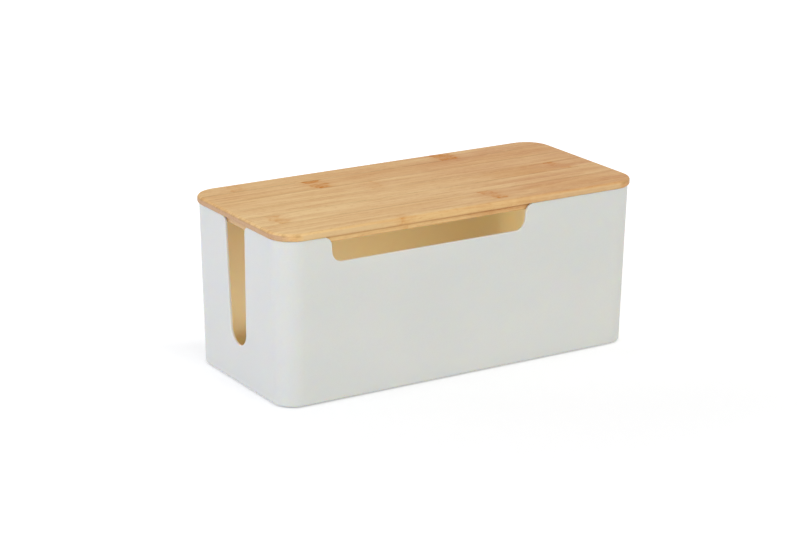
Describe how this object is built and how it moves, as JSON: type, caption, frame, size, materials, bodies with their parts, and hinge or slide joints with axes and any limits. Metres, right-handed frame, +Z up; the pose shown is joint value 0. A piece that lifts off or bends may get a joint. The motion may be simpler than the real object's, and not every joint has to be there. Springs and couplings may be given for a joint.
{
  "type": "cable management box",
  "caption": "Long white plastic box with drafted walls, a wide notch in the front, a round-bottomed cable slot in each end and a loose bamboo lid with a rebated edge.",
  "frame": {"origin": "on the surface that the box stands on, at the soles of its feet, under the middle of the lid's outline", "axes": "+X along the length, towards the far end in the picture; -Y out of the front wall with the wide notch; +Z up"},
  "size_m": [0.31, 0.14, 0.13],
  "materials": {
    "white_plastic": "satin injection-moulded, slightly translucent",
    "bamboo": "sanded and thinly lacquered",
    "foot_rubber": "soft matte"
  },
  "bodies": {
    "box": {"box_body": "white_plastic", "foot_front_left": "foot_rubber", "foot_front_right": "foot_rubber", "foot_back_left": "foot_rubber", "foot_back_right": "foot_rubber"},
    "lid": {"lid_strip_1": "bamboo", "lid_strip_2": "bamboo", "lid_strip_3": "bamboo", "lid_strip_4": "bamboo", "lid_strip_5": "bamboo", "lid_strip_6": "bamboo", "lid_strip_7": "bamboo"}
  },
  "joints": [
    {"name": "lid_lift", "type": "slide", "parent": "box", "child": "lid", "axis": [0, 0, 1], "range_m": [0, 0.15]}
  ]
}
